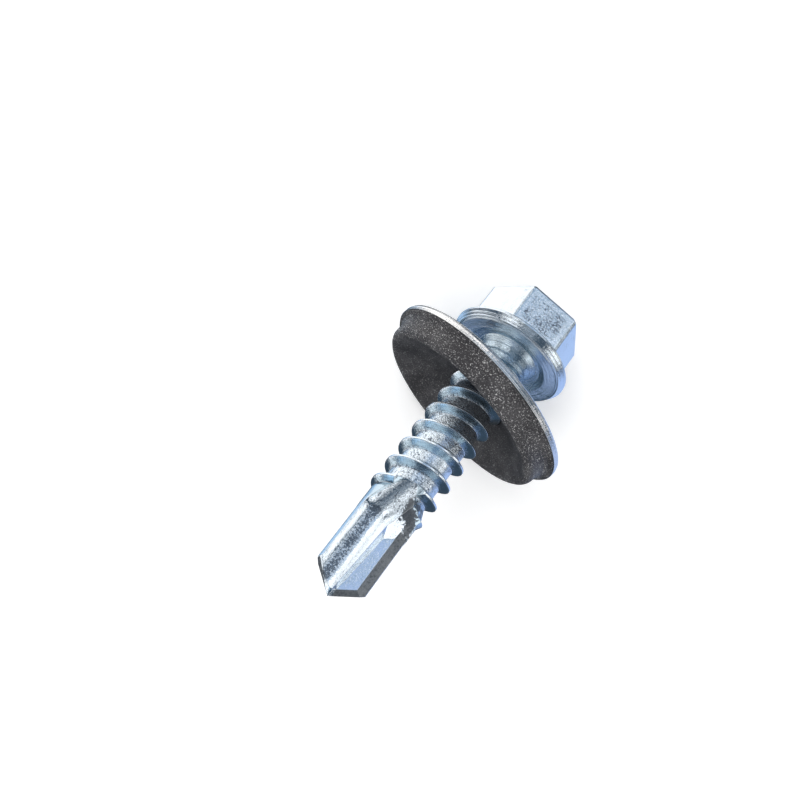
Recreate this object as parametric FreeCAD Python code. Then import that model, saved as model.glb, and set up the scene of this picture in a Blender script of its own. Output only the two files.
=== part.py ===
import FreeCAD, Part
import math
import os

# Self drilling screw 5.5 x 25 with hex flange head and a bonded sealing washer, in millimetres.
# Each piece is drawn on the screw's own axis, head up, with the bearing face at z = 0 and the
# drill tip at z = -screw_length. The assembly is then rolled and laid on the floor, where it
# rests on an edge of its hex head and on the rim of its washer, with the drill point raised.

# Hex head
flats_width = 8.0
head_height = 5.15
corner_rounding = 0.5
top_chamfer = 0.35
head_turn = 4.0
top_dish_radius = 2.6
top_dish_depth = 0.2
top_dish_slope = 0.7

# Flange under the head
flange_radius = 5.35
flange_height = 1.2
flange_edge_z = 0.62
flange_top_fall = 0.3
flange_rounding = 0.12
bearing_outer_radius = 4.75
bearing_edge_width = 0.25
bearing_edge_height = 0.12
bearing_inner_radius = 3.7
recess_radius = 3.1
recess_depth = 0.35

# Shank and thread
screw_length = 25.0
neck_radius = 2.2
hub_radius = 2.75
hub_length = 0.55
hub_taper = 0.3
core_radius = 2.0
thread_radius = 2.725
thread_pitch = 1.9
thread_crest_width = 0.16
thread_flank_angle = 30.0
thread_start = 0.8
thread_end = 17.4
thread_fade = 1.3
thread_phase = 0.7
thread_root_overlap = 0.12
core_lead = 0.4

# Drill point
drill_radius = 2.35
point_half_angle = 54.0
drill_body_length = 8.9
drill_shoulder = 0.9
face_height = 0.22
gullet_radius = 1.75
gullet_side = -0.95
gullet_floor = 0.5
gullet_straight = 6.9
gullet_exit_angle = 27.0
gullet_exit_drift = 0.28
face_end = 7.3
face_end_slant = 0.8
face_exit_angle = 36.0
fold_at_tip = 0.15
fold_slope_angle = 5.7
fold_wall_angle = 31.0
border_width = 0.85
border_fall_angle = 30.0
lip_border_width = 0.5
relief_angle = 24.0
cut_overrun = 1.0

# Steel part of the sealing washer
washer_radius = 8.95
steel_thickness = 0.6
steel_hole_radius = 3.35
dish_angle = 12.0
rim_rounding = 0.25
rim_rounding_middle = 0.07

# Rubber seal under the steel
seal_hole_radius = 2.6
seal_clearance = 0.09
seal_hole_thickness = 1.15
seal_step = 0.1
seal_edge_height = 0.14
waist_step = 0.73
waist_depth = 1.4
waist_hollow_step = 0.55
waist_hollow_depth = 1.0
lip_inset = 1.35
lip_depth = 2.5
lip_rounding = 0.6
lip_wrap_angle = 34.0
bowl_inset = 3.95
bowl_depth = 1.15
seal_runs = 3

# Where the washer hangs on the shank
washer_depth = 4.0
washer_tilt = 14.7
washer_lean = 42.1
washer_rise = 0.24
washer_side_shift = 0.18

# How the screw lies: one flat of the hex head faces down
level_hex_turn = -90.0
roll = level_hex_turn - head_turn

origin = FreeCAD.Vector(0, 0, 0)
axis_x = FreeCAD.Vector(1, 0, 0)
axis_y = FreeCAD.Vector(0, 1, 0)
axis_z = FreeCAD.Vector(0, 0, 1)
tip_z = -screw_length
far = 3.0 * drill_radius


def tan(angle):
    return math.tan(math.radians(angle))


def revolved(points):
    """Solid turned from a closed outline of (radius, height) points."""
    corners = [FreeCAD.Vector(radius, 0, height) for radius, height in points]
    outline = Part.makePolygon(corners + corners[:1])
    return Part.Face(outline).revolve(origin, axis_z, 360)


def half_space(point, normal):
    """Large block that fills the side of a plane the normal points to."""
    block = Part.makeBox(2 * far, 2 * far, far, FreeCAD.Vector(-far, -far, 0))
    block.Placement = FreeCAD.Placement(point, FreeCAD.Rotation(axis_z, normal))
    return block


def section_point(right, front, height):
    """Point of the drill's section: right along the cutting lip, front out of the flute,
    height above the tip."""
    return FreeCAD.Vector(right, -front, tip_z + height)


def section_direction(right, front, up):
    return FreeCAD.Vector(right, -front, up)


def make_head():
    """Hexagon with rounded corners and a chamfered, dished top, standing in the flange."""
    corner = flats_width / 2 / math.cos(math.radians(30))
    angles = [math.radians(head_turn + 60 * step) for step in range(7)]
    points = [FreeCAD.Vector(corner * math.cos(a), corner * math.sin(a), flange_edge_z) for a in angles]
    prism = Part.Face(Part.makePolygon(points)).extrude(axis_z * (head_height - flange_edge_z))
    upright = [edge for edge in prism.Edges if edge.BoundBox.ZLength > corner_rounding]
    prism = prism.makeFillet(corner_rounding, upright)
    rim = [edge for edge in prism.Edges if edge.BoundBox.ZMin > head_height - top_chamfer]
    prism = prism.makeChamfer(top_chamfer, rim)
    dish = revolved([
        (0, head_height - top_dish_depth),
        (top_dish_radius - top_dish_slope, head_height - top_dish_depth),
        (top_dish_radius, head_height),
        (top_dish_radius, head_height + cut_overrun),
        (0, head_height + cut_overrun),
    ])
    return prism.cut(dish)


def make_neck():
    """Flange with its dished bearing face, hub and neck, turned in one."""
    neck_cone = neck_radius - core_radius
    return revolved([
        (0, flange_height),
        (flats_width / 2, flange_height),
        (flange_radius - flange_rounding, flange_height - flange_top_fall),
        (flange_radius, flange_height - flange_top_fall - flange_rounding),
        (flange_radius, flange_edge_z),
        (bearing_outer_radius + bearing_edge_width, bearing_edge_height),
        (bearing_outer_radius, 0),
        (bearing_inner_radius, 0),
        (recess_radius, recess_depth),
        (hub_radius, recess_depth),
        (hub_radius - hub_taper, 0),
        (neck_radius, -hub_length),
        (neck_radius, -thread_start),
        (core_radius - neck_cone, -thread_start - 2 * thread_fade),
        (0, -thread_start - 2 * thread_fade),
    ])


def make_drill_blank():
    """Plain drill body with its cone and the shoulder that runs into the core."""
    cone_height = drill_radius / tan(point_half_angle)
    shoulder_z = tip_z + drill_body_length
    rise = drill_radius - core_radius
    return revolved([
        (0, shoulder_z + 2 * drill_shoulder),
        (core_radius - rise, shoulder_z + 2 * drill_shoulder),
        (drill_radius, shoulder_z),
        (drill_radius, tip_z + cone_height),
        (0, tip_z),
    ])


def make_threaded_core():
    """Core with one right-hand ridge that fades out at both ends."""
    half_crest = thread_crest_width / 2
    inner = core_radius - thread_root_overlap
    half_root = half_crest + (thread_radius - inner) * tan(thread_flank_angle)
    turns = math.ceil(thread_end / thread_pitch) + 1
    bottom = thread_phase - turns * thread_pitch
    profile = Part.makePolygon([
        FreeCAD.Vector(inner, 0, bottom - half_root),
        FreeCAD.Vector(thread_radius, 0, bottom - half_crest),
        FreeCAD.Vector(thread_radius, 0, bottom + half_crest),
        FreeCAD.Vector(inner, 0, bottom + half_root),
        FreeCAD.Vector(inner, 0, bottom - half_root),
    ])
    helix = Part.makeHelix(thread_pitch, turns * thread_pitch, inner)
    helix.translate(FreeCAD.Vector(0, 0, bottom))
    ridge = Part.Wire(helix).makePipeShell([profile], True, True)
    core_length = (turns + 2) * thread_pitch
    core = Part.makeCylinder(core_radius, core_length, FreeCAD.Vector(0, 0, bottom - thread_pitch))
    reach = thread_radius + cut_overrun
    slope = (thread_radius - core_radius) / thread_fade
    envelope = revolved([
        (0, -thread_start + core_lead),
        (core_radius - core_lead * slope, -thread_start + core_lead),
        (reach, -thread_start - (reach - core_radius) / slope),
        (reach, -thread_end + (reach - core_radius) / slope),
        (core_radius - core_lead * slope, -thread_end - core_lead),
        (0, -thread_end - core_lead),
    ])
    return core.fuse(ridge).common(envelope)


def make_gullet():
    """Round channel along the drill that ends in a slanted run-out."""
    centre = gullet_floor + gullet_radius
    straight = Part.makeCylinder(
        gullet_radius,
        gullet_straight + cut_overrun,
        section_point(gullet_side, centre, -cut_overrun),
        axis_z,
    )
    run = section_direction(gullet_exit_drift, tan(gullet_exit_angle), 1)
    turn = section_point(gullet_side, centre, gullet_straight)
    bend = Part.makeSphere(gullet_radius, turn)
    leaving = Part.makeCylinder(gullet_radius, far, turn, run)
    return straight.fuse([bend, leaving])


def make_cutting_face():
    """Flat cutting face beside the channel, with the narrow falling border along margin and lip."""
    wall = (far - face_height) * tan(fold_wall_angle)
    shift = tan(fold_slope_angle)
    left = fold_at_tip - cut_overrun * shift
    points = [
        section_point(left, face_height, -cut_overrun),
        section_point(far, face_height, -cut_overrun),
        section_point(far, far, -cut_overrun),
        section_point(left - wall, far, -cut_overrun),
    ]
    outline = Part.Face(Part.makePolygon(points + points[:1]))
    height = face_end + far
    face_cut = outline.extrude(section_direction(height * shift, 0, height))
    end_point = section_point(drill_radius, face_height, face_end)
    end_normal = section_direction(face_end_slant, 1 / tan(face_exit_angle), -1)
    face_cut = face_cut.common(half_space(end_point, end_normal))
    fall = tan(border_fall_angle)
    margin_line = section_point(drill_radius - border_width, face_height, 0)
    margin_cut = half_space(margin_line, section_direction(fall, 1, 0))
    margin_side = half_space(margin_line, section_direction(1, 0, 0))
    margin_cut = margin_cut.common(margin_side).common(half_space(end_point, end_normal))
    sine = math.sin(math.radians(point_half_angle))
    cosine = math.cos(math.radians(point_half_angle))
    lip_line = section_point(0, face_height, lip_border_width / sine)
    outward = section_direction(cosine, 0, -sine)
    lip_cut = half_space(lip_line, section_direction(fall * cosine, 1, -fall * sine))
    lip_cut = lip_cut.common(half_space(lip_line, outward))
    lip_cut = lip_cut.common(half_space(section_point(0, 0, 0), axis_x))
    return face_cut.fuse([margin_cut, lip_cut])


def make_relief():
    """Flat flank that falls away behind one cutting lip."""
    fall = section_direction(1 / tan(point_half_angle), -tan(relief_angle), -1)
    tip = section_point(0, 0, 0)
    return half_space(tip, fall).common(half_space(tip, axis_x))


def make_screw():
    """Head, blank and thread in one, with the two flutes cut out of the drill point."""
    body = make_threaded_core().fuse([make_neck(), make_drill_blank(), make_head()])
    flute = make_gullet().fuse([make_cutting_face(), make_relief()])
    opposite = flute.copy()
    opposite.rotate(origin, axis_z, 180)
    return body.cut([flute, opposite]).removeSplitter()


def steel_underside(radius):
    """Height of the steel's lower face at a radius."""
    return (washer_radius - radius) * tan(dish_angle) - steel_thickness


def make_steel_washer():
    """Dished steel ring; its upper rim edge lies at z = 0."""
    inner_top = (washer_radius - steel_hole_radius) * tan(dish_angle)
    fall = rim_rounding * tan(dish_angle)
    return revolved([
        (steel_hole_radius, inner_top),
        (washer_radius - rim_rounding, fall),
        (washer_radius - rim_rounding_middle, -rim_rounding_middle),
        (washer_radius, -rim_rounding),
        (washer_radius, steel_underside(washer_radius)),
        (steel_hole_radius, steel_underside(steel_hole_radius)),
    ])


def arc(start, middle, end, runs):
    """Points along the circle through three (radius, height) points, in so many straight runs."""
    corners = [FreeCAD.Vector(radius, 0, height) for radius, height in (start, middle, end)]
    points = Part.Arc(*corners).toShape().discretize(runs + 1)
    return [(point.x, point.z) for point in points]


def lip_point(angle):
    """Point on the rounding of the lip, by its angle inward from the lip's outer side."""
    across = lip_rounding * math.cos(math.radians(angle))
    down = lip_rounding * math.sin(math.radians(angle))
    return (washer_radius - lip_inset + across, lip_rounding - lip_depth - down)


def make_rubber_seal():
    """Rubber ring bonded to the underside of the steel, with a rounded lip near its edge."""
    edge = washer_radius - seal_step
    edge_top = (edge, steel_underside(edge))
    edge_low = (edge, steel_underside(edge) - seal_edge_height)
    waist = (washer_radius - waist_step, -waist_depth)
    hollow = (washer_radius - waist_hollow_step, -waist_hollow_depth)
    bowl = (washer_radius - bowl_inset, -bowl_depth)
    lip_side = lip_point(0)
    lip_end = lip_point(90 + lip_wrap_angle)
    hole_top = (seal_hole_radius, steel_underside(seal_hole_radius))
    hole_low = (seal_hole_radius, steel_underside(seal_hole_radius) - seal_hole_thickness)
    outline = [edge_top]
    outline += arc(edge_low, hollow, waist, seal_runs)
    outline += arc(lip_side, lip_point(lip_wrap_angle), lip_end, 2 * seal_runs)
    outline += arc(lip_end, bowl, hole_low, seal_runs)[1:]
    outline += [hole_top]
    return revolved(outline)


def seal_bore():
    """Round bore along the screw, worn open by the thread that has passed through the rubber."""
    bore_length = 2 * washer_radius
    bore_start = FreeCAD.Vector(0, 0, -washer_depth - washer_radius)
    return Part.makeCylinder(thread_radius + seal_clearance, bore_length, bore_start)


def hang_on_shank(shape):
    """Tilts a washer piece, moves it down the shank and lifts it until the shank rests in its hole."""
    lean = math.radians(washer_lean)
    hinge = FreeCAD.Vector(math.sin(lean), -math.cos(lean), 0)
    shape.rotate(origin, hinge, washer_tilt)
    shape.translate(FreeCAD.Vector(-washer_rise, washer_side_shift, -washer_depth))
    return shape


def lowest(points, dip):
    """Lowest height of a cloud of points when the head dips by an angle below the level shank."""
    sine = math.sin(math.radians(dip))
    cosine = math.cos(math.radians(dip))
    return min(-point.z * sine - point.x * cosine for point in points)


def resting_dip(screw, washer):
    """Dip at which the hex head and the washer touch the floor together."""
    fineness = 0.005
    head = [point for point in screw.tessellate(fineness)[0] if point.z > 0]
    rim = washer.tessellate(fineness)[0]
    least = 0.0
    most = 60.0
    for step in range(40):
        middle = (least + most) / 2
        if lowest(head, middle) > lowest(rim, middle):
            least = middle
        else:
            most = middle
    return middle


screw = make_screw()
screw.rotate(origin, axis_z, roll)
steel_washer = hang_on_shank(make_steel_washer())
rubber_seal = hang_on_shank(make_rubber_seal()).cut(seal_bore())
nodes = {"screw": screw, "steel_washer": steel_washer, "rubber_seal": rubber_seal}

dip = resting_dip(screw, steel_washer.fuse(rubber_seal))
for shape in nodes.values():
    shape.rotate(origin, axis_y, 90 + dip)
bounds = Part.makeCompound(list(nodes.values())).optimalBoundingBox(False, False)
centring = FreeCAD.Vector(-bounds.Center.x, -bounds.Center.y, -bounds.ZMin)
os.makedirs("parts", exist_ok=True)
for name, shape in nodes.items():
    shape.translate(centring)
    shape.exportStep("parts/" + name + ".step")
    print(name, shape.isValid(), len(shape.Solids), round(shape.Volume, 2))
print("dip", round(dip, 4), "moved by", centring)
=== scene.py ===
"""Finish, floor, light and camera for a self drilling screw with a bonded sealing washer."""

import math

import bpy
from bpy.props import FloatProperty, FloatVectorProperty, PointerProperty
from mathutils import Matrix, Vector

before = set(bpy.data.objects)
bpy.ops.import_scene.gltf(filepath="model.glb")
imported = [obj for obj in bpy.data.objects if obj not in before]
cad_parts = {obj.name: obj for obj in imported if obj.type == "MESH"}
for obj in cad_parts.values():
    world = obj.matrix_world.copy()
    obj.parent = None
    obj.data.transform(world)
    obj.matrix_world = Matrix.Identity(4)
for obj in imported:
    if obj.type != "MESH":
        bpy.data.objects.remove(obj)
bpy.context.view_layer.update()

bl_info = {
    "name": "Self drilling screw",
    "version": (1, 0, 0),
    "blender": (4, 5, 0),
    "location": "3D View > Sidebar > Screw",
    "description": "Zinc, rubber and studio finish for a self drilling screw",
    "category": "Object",
}

MM = 0.001

# Where the screw's own frame lies: origin in the middle of the bearing face, Z towards the head
screw_dip = 32.1789
screw_roll = -94.0
bearing_centre = Vector((7.42634, -0.2523, 5.94209)) * MM
screw_turn = Matrix.Rotation(math.radians(90 + screw_dip), 3, "Y")
section_turn = screw_turn @ Matrix.Rotation(math.radians(screw_roll), 3, "Z")

# Where the washer's own frame lies: origin in the middle of its top, Z along its hole
washer_tilt = math.radians(14.7)
washer_lean = math.radians(42.1)
washer_hinge = Vector((math.sin(washer_lean), -math.cos(washer_lean), 0))
washer_turn = screw_turn @ Matrix.Rotation(washer_tilt, 3, washer_hinge)
washer_centre = bearing_centre + screw_turn @ Vector((-0.24, 0.18, -4.0)) * MM

# Sizes of the seal and the screw that their finish follows, in millimetres
seal_lip_radius = 7.6
screw_length = 25.0
core_radius = 2.0
thread_radius = 2.725
drill_radius = 2.35
point_half_angle = math.radians(54.0)
border_width = 0.85
lip_border_width = 0.5
face_end = 7.3

# Slope of the line across the drill's section that parts its two flutes
margin_rise = 0.27

# Soft edges of the finish's zones, in millimetres, each with a low and a high end. Those of a fade are
# given from the zone's edge
seal_lip_fade = (-0.5, 0.2)
margin_fade = (-0.04, 0.02)
lip_fade = (-0.03, 0.03)
lip_start = (0.15, 0.3)
face_depth = (1.0, 1.15)
face_end_fade = (-0.2, 0.1)
land_fade = (-0.08, -0.03)
channel_depth = (0.85, 1.05)
torn_start = (0.35, 0.6)
core_skin = (core_radius + 0.1, core_radius + 0.3)
core_start = (face_end, face_end + 1.0)
hub_edge = (3.6, 3.9)
head_start = (0.9, 1.2)
head_face_start = (0.9, 1.4)
head_front = (2.2, 3.4)

# Bands of the screw's finish, in millimetres across its section, along it or from its axis. The torn
# ones lie on places that a noise has shifted, by up to the ragged lengths
channel_band = (-1.48, -0.68)
channel_length = (0.8, face_end + 0.4)
torn_across = (2.18, 2.76)
torn_along = (face_end - 0.7, face_end + 1.5)
ragged_across = 0.9
ragged_along = -1.2
flank_band = (core_radius + 0.15, thread_radius - 0.12)
flank_length = (face_end + 0.4 - screw_length, -2.0)
hub_length = (-2.6, 0.6)
flange_length = (-0.1, 1.25)
patch_width = (-1.45, 1.85)
patch_height = (1.75, 4.25)

# Shares of a zone's colour that reach the plate, with the painted blue shade on the flanks and under the
# flange, and what dull crystals, dark borders and the edges with their painted highlight and shade each add
# to its roughness
blue_shade_share = 0.5
hub_blue_shade = 0.75
border_darkness = 0.9
added_roughness = 0.20

# How dull the plate is, from 0 for clean crystals to 1 for mostly dull ones, and what each zone adds. On
# the core, the flute bottoms, the head's front and under the flange the added dull crystals are painted
# shade. The patch adds its share of the head's
plain_dullness = 0.12
washer_dullness = 0.3
# Painted shade on the core between the thread's ridges
core_shade = 0.34
# Painted shade along the bottom of each flute
channel_shade = 0.62
# Painted shade on the head's front flat, and its share in the patch
head_front_shade = 0.15
patch_share = 1.6
border_dullness = 0.40
# Painted shade under the flange
hub_dark_shade = 0.25

# Sizes of the grain in the plate and in the rubber, and heights of their bumps, in millimetres
crystal_size = 0.18
dent_size = 0.60
ring_size = 0.22
plate_cloud_size = 1.6
torn_grain_size = 0.34
rubber_grain_size = 0.12
rubber_cloud_size = 2.2
plate_bump = 0.05
rubber_bump = 0.04

# Ranges of a noise, or of the cosine between two normals, over which an effect comes in
plate_clouds = (0.35, 0.65)
dust_range = (0.38, 0.62)
speck_range = (0.60, 0.64)
bloom_range = (0.33, 0.72)
edge_turn = (0.82, 0.97)

# Share of the fine grain in the rubber's mottling, and what a speck adds to the roughness
mottle_share = 0.9
speck_gloss = -0.25


class ZincFinish(bpy.types.PropertyGroup):
    """Bright zinc plate on the screw and on the washer's steel, with painted shade and highlights among its
    colours.
    """

    color: FloatVectorProperty(
        name="Zinc", description="Colour of clean zinc plate", subtype="COLOR", size=3,
        min=0.0, max=1.0, default=(0.80, 0.87, 0.93),
    )
    # Also the colour of the shade painted on the core, the flute bottoms, the head's front and under the
    # flange.
    shade: FloatVectorProperty(
        name="Dull zinc and painted shade", description="Colour of dull spots in the plate and of painted shade", subtype="COLOR", size=3,
        min=0.0, max=1.0, default=(0.20, 0.235, 0.28),
    )
    washer_color: FloatVectorProperty(
        name="Washer", description="Colour of the washer's steel", subtype="COLOR", size=3,
        min=0.0, max=1.0, default=(0.88, 0.87, 0.86),
    )
    ground: FloatVectorProperty(
        name="Pressed edge", description="Colour of the pressed border along the lips", subtype="COLOR",
        size=3, min=0.0, max=1.0, default=(0.20, 0.21, 0.22),
    )
    # Painted shade: a darker blue on the thread's flanks and under the flange.
    flank: FloatVectorProperty(
        name="Thread flank", description="Colour of the shade painted on the thread's flanks and under the flange",
        subtype="COLOR", size=3, min=0.0, max=1.0, default=(0.30, 0.46, 0.56),
    )
    # Painted highlight: a pale colour along the edges and the thread's crests.
    edge: FloatVectorProperty(
        name="Painted edge highlight", description="Colour of the highlight painted along the edges", subtype="COLOR", size=3,
        min=0.0, max=1.0, default=(0.95, 0.96, 0.97),
    )
    # Painted shade: dark lines along the head's corners.
    corner: FloatVectorProperty(
        name="Head corner", description="Colour of the shade painted along the head's corners", subtype="COLOR", size=3,
        min=0.0, max=1.0, default=(0.28, 0.34, 0.42),
    )
    roughness: FloatProperty(
        name="Roughness", description="Roughness of clean zinc plate", subtype="FACTOR",
        min=0.0, max=1.0, default=0.12,
    )
    edge_radius: FloatProperty(
        name="Edge radius", description="Radius that the plating gives to sharp edges",
        subtype="DISTANCE", unit="LENGTH", default=0.07 * MM, precision=6,
    )


class RubberFinish(bpy.types.PropertyGroup):
    """Dark rubber of the seal."""

    color: FloatVectorProperty(
        name="Rubber", description="Colour of the rubber", subtype="COLOR", size=3,
        min=0.0, max=1.0, default=(0.038, 0.036, 0.039),
    )
    bloom: FloatVectorProperty(
        name="Bloom", description="Colour of the rubber where it has a pale bloom", subtype="COLOR", size=3,
        min=0.0, max=1.0, default=(0.078, 0.076, 0.080),
    )
    glitter: FloatVectorProperty(
        name="Glitter", description="Colour of the fine specks in the rubber", subtype="COLOR", size=3,
        min=0.0, max=1.0, default=(0.95, 0.95, 0.95),
    )
    roughness: FloatProperty(
        name="Roughness", description="Roughness of the rubber", subtype="FACTOR",
        min=0.0, max=1.0, default=0.55,
    )


class StageSettings(bpy.types.PropertyGroup):
    """Floor, lamps and camera."""

    floor_size: FloatProperty(
        name="Floor", description="Side of the floor", subtype="DISTANCE", unit="LENGTH", default=1.2,
    )
    world_strength: FloatProperty(
        name="World", description="Strength of the light from all round", default=0.82,
    )
    camera_place: FloatVectorProperty(
        name="Camera", description="Where the camera stands", subtype="TRANSLATION", unit="LENGTH",
        size=3, precision=5, default=(9.173 * MM, 9.391 * MM, 87.712 * MM),
    )
    camera_turn: FloatVectorProperty(
        name="Camera turn", description="How the camera is turned from looking straight down",
        subtype="EULER", unit="ROTATION", size=3,
        default=(math.radians(-7.647), math.radians(1.825), math.radians(-49.542)),
    )
    camera_lens: FloatProperty(
        name="Lens", description="Focal length of the camera in millimetres", default=43.875,
    )


def deselect_all():
    bpy.ops.object.select_all(action="DESELECT")


def add(tree, kind, **settings):
    node = tree.nodes.new(kind)
    for name, value in settings.items():
        setattr(node, name, value)
    return node


def feed(tree, node, name, value):
    """Puts a socket or a constant into one input of a node."""
    socket = node.inputs[name]
    if isinstance(value, bpy.types.NodeSocket):
        tree.links.new(value, socket)
    elif isinstance(value, (int, float)):
        socket.default_value = value
    else:
        values = tuple(value)
        socket.default_value = values + (1.0,) if len(values) < len(socket.default_value) else values


def math_node(tree, operation, first, second=0.0, third=None):
    node = add(tree, "ShaderNodeMath", operation=operation)
    feed(tree, node, 0, first)
    feed(tree, node, 1, second)
    if third is not None:
        feed(tree, node, 2, third)
    return node.outputs[0]


def smooth_step(tree, value, low, high, to_low=0.0, to_high=1.0):
    """Goes smoothly from one value to another while the input goes from low to high."""
    node = add(tree, "ShaderNodeMapRange", interpolation_type="SMOOTHSTEP")
    feed(tree, node, "Value", value)
    for name, number in (("From Min", low), ("From Max", high), ("To Min", to_low), ("To Max", to_high)):
        feed(tree, node, name, number)
    return node.outputs["Result"]


def multiply(tree, *factors):
    """Product of masks and numbers."""
    product = factors[0]
    for factor in factors[1:]:
        product = math_node(tree, "MULTIPLY", product, factor)
    return product


def below(tree, value, low, high, top=1.0):
    """top where the value lies below low, and 0 where it lies above high."""
    return smooth_step(tree, value, low, high, top, 0.0)


def between(tree, value, low, high, softness):
    """1 where the value lies between low and high."""
    rise = smooth_step(tree, value, low - softness, low + softness)
    return multiply(tree, rise, below(tree, value, high - softness, high + softness))


def blend_color(tree, factor, first, second):
    """The first colour at factor 0 and the second at 1. A mix node's colours are inputs 6 and 7."""
    node = add(tree, "ShaderNodeMix", data_type="RGBA")
    feed(tree, node, 0, factor)
    feed(tree, node, 6, first)
    feed(tree, node, 7, second)
    return node.outputs[2]


def noise(tree, vector, size, detail=2.0, roughness=0.5, distortion=0.0):
    """Noise whose features are about size millimetres."""
    node = add(tree, "ShaderNodeTexNoise")
    feed(tree, node, "Vector", vector)
    feed(tree, node, "Scale", 1.0 / size)
    feed(tree, node, "Detail", detail)
    feed(tree, node, "Roughness", roughness)
    feed(tree, node, "Distortion", distortion)
    return node.outputs["Fac"]


def new_material(name, shader_kind):
    """Material with an output and one shader, and its tree and that shader."""
    material = bpy.data.materials.new(name)
    material.use_nodes = True
    tree = material.node_tree
    tree.nodes.clear()
    output = add(tree, "ShaderNodeOutputMaterial")
    shader = add(tree, shader_kind)
    tree.links.new(shader.outputs[0], output.inputs["Surface"])
    return material, tree, shader


def own_coordinates(tree, origin, turn):
    """Coordinates, in millimetres, in a frame with the given origin and turn."""
    coordinates = add(tree, "ShaderNodeTexCoord")
    mapping = add(tree, "ShaderNodeMapping", vector_type="TEXTURE")
    feed(tree, mapping, "Vector", coordinates.outputs["Object"])
    feed(tree, mapping, "Location", origin)
    feed(tree, mapping, "Rotation", turn.to_euler("XYZ"))
    feed(tree, mapping, "Scale", (MM, MM, MM))
    return mapping.outputs["Vector"]


def new_group(name, inputs, outputs):
    """Node group with the given sockets, and its tree, input node and output node."""
    tree = bpy.data.node_groups.new(name, "ShaderNodeTree")
    for socket_name, kind in inputs:
        tree.interface.new_socket(socket_name, in_out="INPUT", socket_type="NodeSocket" + kind)
    for socket_name, kind in outputs:
        tree.interface.new_socket(socket_name, in_out="OUTPUT", socket_type="NodeSocket" + kind)
    return tree, add(tree, "NodeGroupInput"), add(tree, "NodeGroupOutput")


def radius_of(tree, point):
    """Distance from the own frame's Z axis."""
    flat = add(tree, "ShaderNodeVectorMath", operation="MULTIPLY")
    feed(tree, flat, 0, point)
    feed(tree, flat, 1, (1.0, 1.0, 0.0))
    length = add(tree, "ShaderNodeVectorMath", operation="LENGTH")
    feed(tree, length, 0, flat.outputs["Vector"])
    return length.outputs["Value"]


def plate_grain_group():
    """Grain of zinc plate: dull crystals, more of them where the plate is duller and where shade is
    painted, soft dents and fine rings.
    """
    dull_from = 0.74
    dull_reach = 0.42
    dull_fade = 0.08
    clean_relief = 0.2
    dull_relief = 1.2
    dent_relief = 0.45
    ring_relief = 1.6
    tree, given, result = new_group(
        "plate_grain", [("Point", "Vector"), ("Dullness", "Float"), ("Rings", "Float")],
        [("Dull", "Float"), ("Height", "Float")],
    )
    point = given.outputs["Point"]
    dullness_and_shade = given.outputs["Dullness"]
    crystals = noise(tree, point, crystal_size, detail=3.0, roughness=0.8, distortion=0.3)
    dents = noise(tree, point, dent_size, distortion=0.6)
    start = math_node(tree, "MULTIPLY_ADD", dullness_and_shade, -dull_reach, dull_from)
    end = math_node(tree, "ADD", start, dull_fade)
    feed(tree, result, "Dull", smooth_step(tree, crystals, start, end))
    relief = math_node(tree, "MULTIPLY_ADD", dullness_and_shade, dull_relief, clean_relief)
    height = math_node(tree, "MULTIPLY_ADD", dents, dent_relief, multiply(tree, crystals, relief))
    parts = add(tree, "ShaderNodeSeparateXYZ")
    feed(tree, parts, 0, point)
    section = add(tree, "ShaderNodeCombineXYZ")
    feed(tree, section, 0, radius_of(tree, point))
    feed(tree, section, 1, parts.outputs["Z"])
    rings = noise(tree, section.outputs[0], ring_size, roughness=0.7)
    rings = multiply(tree, rings, given.outputs["Rings"])
    feed(tree, result, "Height", math_node(tree, "MULTIPLY_ADD", rings, ring_relief, height))
    return tree


def use_group(tree, group, **values):
    node = add(tree, "ShaderNodeGroup", node_tree=group)
    for name, value in values.items():
        feed(tree, node, name, value)
    return node


def places_on_screw(tree, point):
    """Where a point lies on the screw. Right, across the drill, is the same for both of its flutes."""
    parts = add(tree, "ShaderNodeSeparateXYZ")
    feed(tree, parts, 0, point)
    x = parts.outputs["X"]
    y = parts.outputs["Y"]
    z = parts.outputs["Z"]
    front = math_node(tree, "SUBTRACT", multiply(tree, x, margin_rise), y)
    return {
        "x": x,
        "z": z,
        "front": front,
        "right": multiply(tree, x, math_node(tree, "SIGN", front)),
        "depth": math_node(tree, "ABSOLUTE", y),
        "radius": radius_of(tree, point),
        "above_tip": math_node(tree, "ADD", z, screw_length),
    }


def faded(edge, fade):
    """Low and high end of a fade that is given from an edge."""
    return edge + fade[0], edge + fade[1]


def pressed_border(tree, place):
    """1 on the pressed border along the margin and the lip of each cutting face."""
    along = multiply(tree, place["above_tip"], math.sin(point_half_angle))
    across = multiply(tree, place["right"], math.cos(point_half_angle))
    lip = below(tree, math_node(tree, "SUBTRACT", along, across), *faded(lip_border_width, lip_fade))
    lip = multiply(tree, lip, smooth_step(tree, place["right"], *lip_start))
    margin = smooth_step(tree, place["right"], *faded(drill_radius - border_width, margin_fade))
    return multiply(
        tree,
        math_node(tree, "MAXIMUM", margin, lip),
        below(tree, place["depth"], *face_depth),
        below(tree, place["above_tip"], *faded(face_end, face_end_fade)),
        below(tree, place["radius"], *faded(drill_radius, land_fade)),
    )


def torn_metal(tree, place, point):
    """1 on the ragged metal where each flute ends in the thread."""
    ragged = noise(tree, point, torn_grain_size, roughness=0.75, distortion=0.8)
    across = math_node(tree, "MULTIPLY_ADD", ragged, ragged_across, place["radius"])
    along = math_node(tree, "MULTIPLY_ADD", ragged, ragged_along, place["above_tip"])
    return multiply(
        tree,
        between(tree, across, *torn_across, softness=0.05),
        between(tree, along, *torn_along, softness=0.08),
        smooth_step(tree, place["right"], *torn_start),
    )


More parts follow.
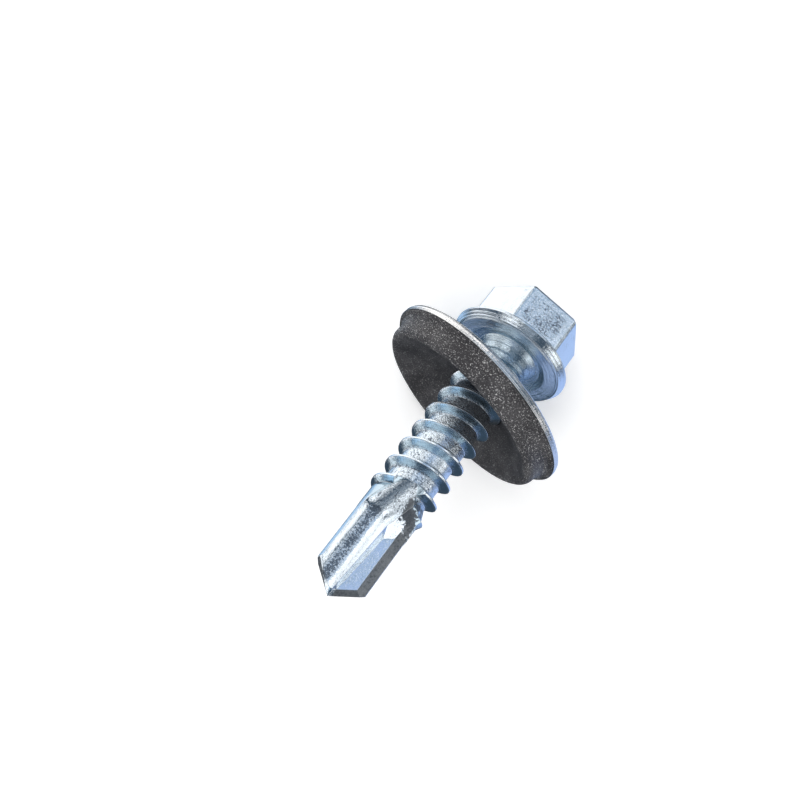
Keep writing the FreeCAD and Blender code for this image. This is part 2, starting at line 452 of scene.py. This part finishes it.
def painted_channel_shade(tree, place):
    """Painted shade along the bottom of each flute, as a band of dull, dark plate."""
    return multiply(
        tree,
        between(tree, place["right"], *channel_band, softness=0.22),
        between(tree, place["above_tip"], *channel_length, softness=0.3),
        below(tree, place["depth"], *channel_depth, top=channel_shade),
    )


def painted_core_shade(tree, place):
    """Painted shade on the core between the thread's ridges, and on the neck, as dull, dark plate."""
    skin = below(tree, place["radius"], *core_skin, top=core_shade)
    return multiply(tree, skin, smooth_step(tree, place["above_tip"], *core_start))


def painted_head_shade(tree, place):
    """Painted shade on the head's front flat, as dull, dark plate, darker in a patch in its middle."""
    flat = smooth_step(tree, place["z"], *head_face_start, to_high=head_front_shade)
    flat = multiply(tree, flat, smooth_step(tree, place["front"], *head_front))
    patch = multiply(
        tree,
        between(tree, place["x"], *patch_width, softness=0.12),
        between(tree, place["z"], *patch_height, softness=0.12),
    )
    return math_node(tree, "MULTIPLY_ADD", multiply(tree, patch, flat), patch_share, flat)


def screw_zones(tree, point):
    """Masks of the dark borders, the head, the flange, and the painted blue shade on the flanks and under
    the flange, and how dull the plate is, with the painted shade in that.
    """
    place = places_on_screw(tree, point)
    border = math_node(tree, "MAXIMUM", pressed_border(tree, place), torn_metal(tree, place, point))
    head = smooth_step(tree, place["z"], *head_start)
    flange = between(tree, place["z"], *flange_length, softness=0.05)
    # Painted shade on the thread's flanks.
    flank = multiply(
        tree,
        between(tree, place["radius"], *flank_band, softness=0.06),
        between(tree, place["z"], *flank_length, softness=0.3),
    )
    # Painted shade under the flange, next to the washer: a darker blue and duller plate.
    hub_shade_mask = multiply(
        tree,
        below(tree, place["radius"], *hub_edge, top=hub_blue_shade),
        between(tree, place["z"], *hub_length, softness=0.2),
    )
    # The zones added here on the core, the flute bottoms, the head's front and under the flange are painted
    # shade.
    dullness_and_shade = math_node(tree, "MAXIMUM", painted_core_shade(tree, place), painted_head_shade(tree, place))
    dullness_and_shade = math_node(tree, "ADD", dullness_and_shade, plain_dullness)
    dullness_and_shade = math_node(tree, "ADD", dullness_and_shade, painted_channel_shade(tree, place))
    dullness_and_shade = math_node(tree, "MULTIPLY_ADD", hub_shade_mask, hub_dark_shade, dullness_and_shade)
    dullness_and_shade = math_node(tree, "MULTIPLY_ADD", border, border_dullness, dullness_and_shade)
    return border, head, flange, math_node(tree, "MAXIMUM", flank, hub_shade_mask), dullness_and_shade


def edge_mask(tree, rounded):
    """1 on the edges that the plating rounds, where the rounded normal turns from the flat one."""
    straight = add(tree, "ShaderNodeNewGeometry")
    turn = add(tree, "ShaderNodeVectorMath", operation="DOT_PRODUCT")
    feed(tree, turn, 0, rounded)
    feed(tree, turn, 1, straight.outputs["Normal"])
    return below(tree, turn.outputs["Value"], *edge_turn)


def give_bump(tree, shader, height, strength, distance, normal=None):
    """Shades the surface as if it were raised by height times distance, in millimetres."""
    bump = add(tree, "ShaderNodeBump")
    feed(tree, bump, "Height", height)
    feed(tree, bump, "Strength", strength)
    feed(tree, bump, "Distance", distance * MM)
    if normal:
        feed(tree, bump, "Normal", normal)
    feed(tree, shader, "Normal", bump.outputs["Normal"])


def zinc_material(name, finish, grain_group, is_screw):
    """Zinc plate with a grain and a highlight painted along its edges, on the screw with its zones too,
    which hold painted shade, and with shade painted along the head's corners.
    """
    material, tree, shader = new_material(name, "ShaderNodeBsdfPrincipled")
    shader.inputs["Metallic"].default_value = 1.0
    if is_screw:
        point = own_coordinates(tree, bearing_centre, section_turn)
        border, head, rings, flank, dullness_and_shade = screw_zones(tree, point)
    else:
        point = own_coordinates(tree, washer_centre, washer_turn)
        rings = 1.0
        dullness_and_shade = washer_dullness
    rounded = add(tree, "ShaderNodeBevel", samples=6)
    rounded.inputs["Radius"].default_value = finish.edge_radius
    clouds = noise(tree, point, plate_cloud_size, detail=3.0, roughness=0.6)
    clouds = smooth_step(tree, clouds, *plate_clouds, to_low=-0.08, to_high=0.12)
    dullness_and_shade = math_node(tree, "ADD", dullness_and_shade, clouds)
    grain = use_group(tree, grain_group, Point=point, Dullness=dullness_and_shade, Rings=rings)
    clean = finish.color if is_screw else finish.washer_color
    # Dull crystals are the plate's grain, and on the screw's zones they are painted shade too.
    color = blend_color(tree, grain.outputs["Dull"], clean, finish.shade)
    rough = math_node(tree, "MULTIPLY_ADD", grain.outputs["Dull"], added_roughness, finish.roughness)
    # Painted highlight along the edges, and on the head painted shade along its corners.
    edge_color = finish.edge
    if is_screw:
        # Painted shade: the flanks and the place under the flange go towards a darker blue.
        color = blend_color(tree, multiply(tree, flank, blue_shade_share), color, finish.flank)
        color = blend_color(tree, multiply(tree, border, border_darkness), color, finish.ground)
        rough = math_node(tree, "MULTIPLY_ADD", border, added_roughness, rough)
        edge_color = blend_color(tree, head, finish.edge, finish.corner)
    edge = edge_mask(tree, rounded.outputs["Normal"])
    feed(tree, shader, "Base Color", blend_color(tree, edge, color, edge_color))
    feed(tree, shader, "Roughness", math_node(tree, "MULTIPLY_ADD", edge, added_roughness, rough))
    height = grain.outputs["Height"]
    give_bump(tree, shader, height, strength=1.0, distance=plate_bump, normal=rounded.outputs["Normal"])
    return material


def rubber_material(name, finish):
    """Rubber with clouds of bloom, a mottled grain and pale specks that are fainter inside the lip, where
    the rubber is smoother and shade is painted into the hollow.
    """
    material, tree, shader = new_material(name, "ShaderNodeBsdfPrincipled")
    point = own_coordinates(tree, washer_centre, washer_turn)
    clouds = noise(tree, point, rubber_cloud_size, detail=4.0, roughness=0.6)
    grain = noise(tree, point, rubber_grain_size, detail=3.0, roughness=0.85, distortion=0.3)
    # Fewer pale specks inside the lip: a smoother rubber there, and painted shade in the seal's hollow.
    speck_share_out_of_shade = smooth_step(tree, radius_of(tree, point), *faded(seal_lip_radius, seal_lip_fade), to_low=0.40)
    specks = multiply(tree, smooth_step(tree, grain, *speck_range), speck_share_out_of_shade)
    dust = multiply(tree, specks, smooth_step(tree, clouds, *dust_range, to_low=0.65))
    low_clouds = math_node(tree, "SUBTRACT", clouds, mottle_share / 2)
    mottle = math_node(tree, "MULTIPLY_ADD", grain, mottle_share, low_clouds)
    ground = blend_color(tree, smooth_step(tree, mottle, *bloom_range), finish.color, finish.bloom)
    feed(tree, shader, "Base Color", blend_color(tree, dust, ground, finish.glitter))
    feed(tree, shader, "Roughness", math_node(tree, "MULTIPLY_ADD", specks, speck_gloss, finish.roughness))
    shader.inputs["Specular IOR Level"].default_value = 0.35
    give_bump(tree, shader, grain, strength=0.6, distance=rubber_bump)
    return material


def give_material(node, material):
    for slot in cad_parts[node].material_slots:
        slot.material = material


class SCREW_OT_zinc_finish(bpy.types.Operator):
    """Plates the screw and the washer's steel ring with bright zinc"""

    bl_idname = "screw.zinc_finish"
    bl_label = "Zinc finish"

    def execute(self, context):
        finish = context.scene.zinc_finish
        grain_group = plate_grain_group()
        give_material("screw", zinc_material("screw_zinc", finish, grain_group, True))
        give_material("steel_washer", zinc_material("washer_zinc", finish, grain_group, False))
        return {"FINISHED"}


class SCREW_OT_seal_finish(bpy.types.Operator):
    """Gives the seal its dark rubber"""

    bl_idname = "screw.seal_finish"
    bl_label = "Seal finish"

    def execute(self, context):
        give_material("rubber_seal", rubber_material("seal_rubber", context.scene.rubber_finish))
        return {"FINISHED"}


class SCREW_OT_stage(bpy.types.Operator):
    """Adds the floor, the lamps, the world and the camera"""

    bl_idname = "screw.stage"
    bl_label = "Stage"

    def execute(self, context):
        settings = context.scene.stage_settings
        add_floor(settings)
        add_lamps()
        light_world(context, settings)
        add_camera(context, settings)
        return {"FINISHED"}


def add_floor(settings):
    """Adds a white floor. It is whiter for the camera than for the light that it throws back."""
    lit_white = (0.86, 0.86, 0.86)
    seen_white = (1.22, 1.22, 1.22)
    deselect_all()
    bpy.ops.mesh.primitive_plane_add(size=settings.floor_size, location=(0, 0, 0))
    floor = bpy.context.object
    floor.name = "floor"
    material, tree, paper = new_material("floor_white", "ShaderNodeBsdfDiffuse")
    seen = add(tree, "ShaderNodeLightPath").outputs["Is Camera Ray"]
    feed(tree, paper, "Color", blend_color(tree, seen, lit_white, seen_white))
    floor.data.materials.append(material)
    floor.visible_glossy = False


# What the metal mirrors in the studio: dark walls, and on them panels, each with its direction, its
# half width and softness in degrees, and its colour
dark_walls = (0.055, 0.082, 0.115)
surroundings = {
    "light_right": ((0.84, -0.02, 0.50), 27, 9, (0.38, 0.49, 0.62)),
    "periwinkle_right": ((0.75, -0.01, 0.66), 7, 5, (0.46, 0.58, 0.84)),
    "lilac_below": ((0.18, -0.63, -0.76), 26, 9, (0.48, 0.63, 0.95)),
    "blue_bottom": ((-0.22, -0.90, -0.38), 20, 8, (0.44, 0.58, 0.92)),
    "blue_back": ((-0.15, 0.58, -0.80), 15, 8, (0.48, 0.68, 0.92)),
    "blue_left": ((-0.92, 0.34, 0.22), 7, 6, (0.60, 0.85, 1.1)),
    "white_left": ((-0.80, 0.55, -0.24), 9, 5, (1.4, 1.4, 1.4)),
    "white_top": ((0.30, 0.85, -0.25), 33, 8, (1.3, 1.3, 1.3)),
    "white_above": ((0.64, 0.56, 0.52), 13, 5, (1.4, 1.4, 1.4)),
    "white_right": ((0.82, -0.30, 0.48), 8, 5, (1.3, 1.3, 1.3)),
    "white_low_right": ((0.48, -0.84, 0.22), 13, 5, (1.4, 1.4, 1.4)),
    "white_front": ((-0.30, -0.76, 0.57), 15, 4, (1.4, 1.4, 1.4)),
    "white_behind": ((0.09, 0.62, 0.78), 15, 5, (1.4, 1.4, 1.4)),
    "grey_overhead": ((0.02, 0.02, 1.0), 8, 6, (0.50, 0.56, 0.62)),
}


def add_lamps():
    """Adds two square lamps that no reflection shows, each with its place, size and power."""
    lamps = {
        "key_softbox": ((0.10, 0.20, 0.30), 0.20, 0.36),
        "fill_softbox": ((-0.16, -0.24, 0.22), 0.22, 0.12),
    }
    for name, (place, size, power) in lamps.items():
        aim = Vector(place).to_track_quat("Z", "Y").to_euler()
        bpy.ops.object.light_add(type="AREA", location=place, rotation=aim)
        lamp = bpy.context.object
        lamp.name = name
        lamp.data.size = size
        lamp.data.energy = power
        lamp.visible_glossy = False


def light_world(context, settings):
    """Even white light all round, with the studio's dark walls and panels in reflections only."""
    world = bpy.data.worlds.new("studio")
    world.use_nodes = True
    tree = world.node_tree
    tree.nodes.clear()
    output = add(tree, "ShaderNodeOutputWorld")
    way = add(tree, "ShaderNodeTexCoord").outputs["Generated"]
    mirrored = dark_walls
    for direction, half_width, softness, color in surroundings.values():
        aim = add(tree, "ShaderNodeVectorMath", operation="DOT_PRODUCT")
        feed(tree, aim, 0, way)
        feed(tree, aim, 1, Vector(direction).normalized())
        edge = math.cos(math.radians(half_width + softness))
        core = math.cos(math.radians(half_width))
        inside = smooth_step(tree, aim.outputs["Value"], edge, core)
        mirrored = blend_color(tree, inside, mirrored, color)
    light_path = add(tree, "ShaderNodeLightPath")
    even = (settings.world_strength,) * 3
    color = blend_color(tree, light_path.outputs["Is Glossy Ray"], even, mirrored)
    color = blend_color(tree, light_path.outputs["Is Camera Ray"], color, (1.0, 1.0, 1.0))
    back = add(tree, "ShaderNodeBackground")
    feed(tree, back, "Color", color)
    tree.links.new(back.outputs[0], output.inputs["Surface"])
    context.scene.world = world
    context.scene.view_settings.view_transform = "Standard"


def add_camera(context, settings):
    bpy.ops.object.camera_add(location=settings.camera_place, rotation=settings.camera_turn)
    camera = bpy.context.object
    camera.name = "camera"
    camera.data.lens = settings.camera_lens
    camera.data.clip_start = 0.002
    context.scene.camera = camera


class SCREW_PT_panel(bpy.types.Panel):
    """Lists the sizes and colours of the screw's finish"""

    bl_idname = "SCREW_PT_panel"
    bl_label = "Self drilling screw"
    bl_space_type = "VIEW_3D"
    bl_region_type = "UI"
    bl_category = "Screw"

    def draw(self, context):
        for operator in operators:
            self.layout.operator(operator.bl_idname)
        for group, kind in settings_groups.items():
            box = self.layout.box()
            for name in kind.__annotations__:
                box.prop(getattr(context.scene, group), name)


operators = (SCREW_OT_zinc_finish, SCREW_OT_seal_finish, SCREW_OT_stage)
settings_groups = {
    "zinc_finish": ZincFinish,
    "rubber_finish": RubberFinish,
    "stage_settings": StageSettings,
}


def register():
    for group, kind in settings_groups.items():
        bpy.utils.register_class(kind)
        setattr(bpy.types.Scene, group, PointerProperty(type=kind))
    for kind in operators + (SCREW_PT_panel,):
        bpy.utils.register_class(kind)


def unregister():
    for kind in reversed(operators + (SCREW_PT_panel,)):
        bpy.utils.unregister_class(kind)
    for group, kind in settings_groups.items():
        delattr(bpy.types.Scene, group)
        bpy.utils.unregister_class(kind)


def main():
    register()
    deselect_all()
    bpy.ops.screw.zinc_finish()
    bpy.ops.screw.seal_finish()
    bpy.ops.screw.stage()


if __name__ == "__main__":
    main()
